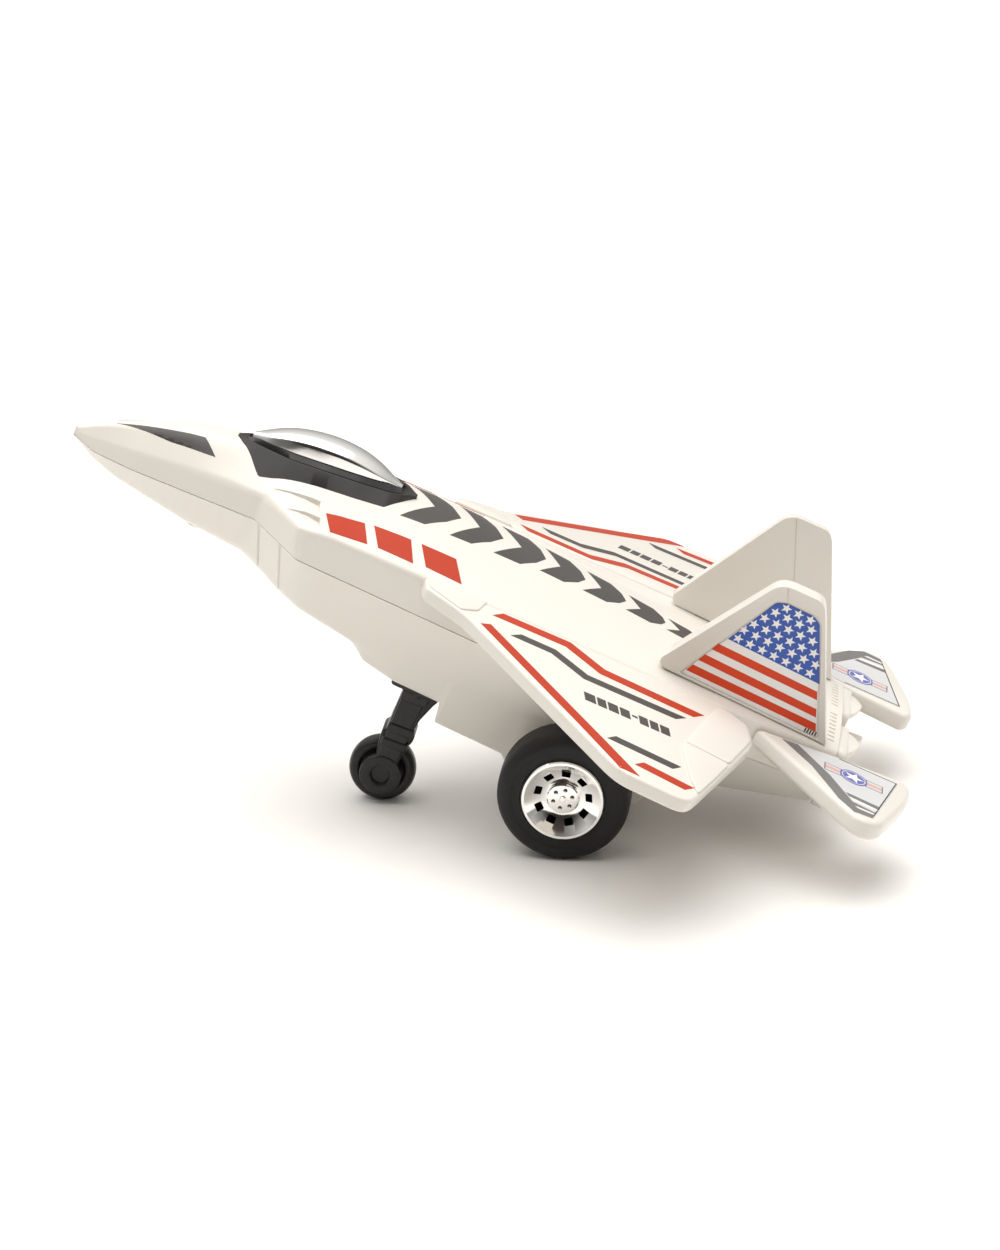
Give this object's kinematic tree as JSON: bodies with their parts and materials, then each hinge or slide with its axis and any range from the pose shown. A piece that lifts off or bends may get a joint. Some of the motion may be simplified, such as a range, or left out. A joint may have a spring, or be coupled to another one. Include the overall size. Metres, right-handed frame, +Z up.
{
  "type": "toy airplane",
  "caption": "Friction-drive toy jet fighter in white plastic, with a plated canopy, twin fins, printed stripes, rubber-tyred main wheels and a nose wheel on a black strut.",
  "frame": {"origin": "on the ground, under the middle of the toy's length and width, with the toy standing on its three wheels", "axes": "+X towards the nose along the ground, +Y to port, +Z up; the fuselage is tilted nose up by 23 degrees about the main axle"},
  "size_m": [0.192, 0.1488, 0.09],
  "materials": {
    "white_plastic": "glossy injection-moulded ABS, warm white",
    "charcoal_plastic": "satin moulded, charcoal",
    "plated_plastic": "vacuum-plated chrome on plastic, mirror gloss",
    "black_plastic": "matte moulded, black",
    "tyre_rubber": "smooth soft rubber, satin",
    "foil": "printed foil sticker, semi gloss",
    "steel": "bright drawn wire and turned steel",
    "nylon": "natural nylon, satin"
  },
  "bodies": {
    "airframe": {"upper_shell": "white_plastic", "lower_shell": "white_plastic", "cockpit_frame": "charcoal_plastic", "canopy": "plated_plastic", "left_wing": "white_plastic", "right_wing": "white_plastic", "left_fin": "white_plastic", "right_fin": "white_plastic", "left_fin_sticker": "foil", "right_fin_sticker": "foil", "left_tailplane": "white_plastic", "right_tailplane": "white_plastic", "left_tailplane_sticker": "foil", "right_tailplane_sticker": "foil", "exhaust_nozzles": "white_plastic", "shell_screws": "steel", "nose_gear_strut": "black_plastic", "nose_wheel_pin": "steel", "motor_case_left": "nylon", "motor_case_right": "nylon", "idler_pin": "steel"},
    "main_wheels": {"main_axle": "steel", "left_hub": "plated_plastic", "right_hub": "plated_plastic", "left_tyre": "tyre_rubber", "right_tyre": "tyre_rubber", "axle_gear": "nylon"},
    "nose_wheel": {"nose_wheel": "black_plastic"},
    "idler": {"idler_gear": "nylon"},
    "flywheel": {"flywheel": "steel", "flywheel_pinion": "nylon"}
  },
  "joints": [
    {"name": "main_wheel_spin", "type": "hinge", "parent": "airframe", "child": "main_wheels", "pos_m": [-0.01877, 0, 0.015], "axis": [0, 1, 0], "continuous": true},
    {"name": "nose_wheel_spin", "type": "hinge", "parent": "airframe", "child": "nose_wheel", "pos_m": [0.026, 0, 0.0078], "axis": [0, 1, 0], "continuous": true},
    {"name": "idler_spin", "type": "hinge", "parent": "airframe", "child": "idler", "pos_m": [-0.01491, 0, 0.02257], "axis": [0, 1, 0], "continuous": true},
    {"name": "flywheel_spin", "type": "hinge", "parent": "airframe", "child": "flywheel", "pos_m": [-0.0087, 0, 0.02837], "axis": [0, 1, 0], "continuous": true}
  ],
  "couplings": [
    {"joint": "idler_spin", "follows": "main_wheel_spin", "ratio": -2.4},
    {"joint": "flywheel_spin", "follows": "main_wheel_spin", "ratio": 5.76}
  ]
}
